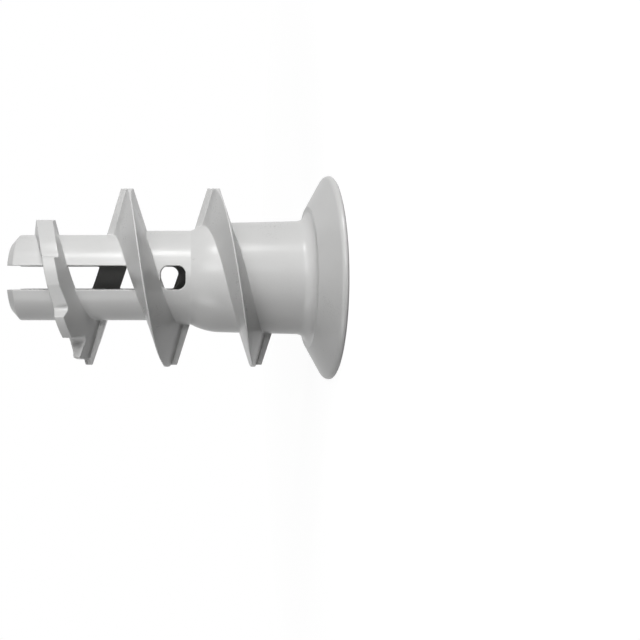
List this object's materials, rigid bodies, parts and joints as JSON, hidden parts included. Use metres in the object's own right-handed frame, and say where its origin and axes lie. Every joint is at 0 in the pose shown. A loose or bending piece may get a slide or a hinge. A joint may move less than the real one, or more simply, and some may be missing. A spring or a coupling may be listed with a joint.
{
  "type": "plasterboard plug",
  "caption": "Self-drilling plasterboard plug: hollow slotted plastic tube with a coarse saw-toothed cutting thread, flared body and wide countersunk head.",
  "frame": {"origin": "middle of the head's flat front face, which the plug stands on", "axes": "+Z along the plug from the head to the slotted tip, Y along the slot's way through the tube, X across it"},
  "size_m": [0.0142, 0.0142, 0.022],
  "materials": {
    "nylon": "light grey moulded nylon with a fine satin surface and no print"
  },
  "bodies": {
    "root": {"plug": "nylon"}
  },
  "joints": []
}
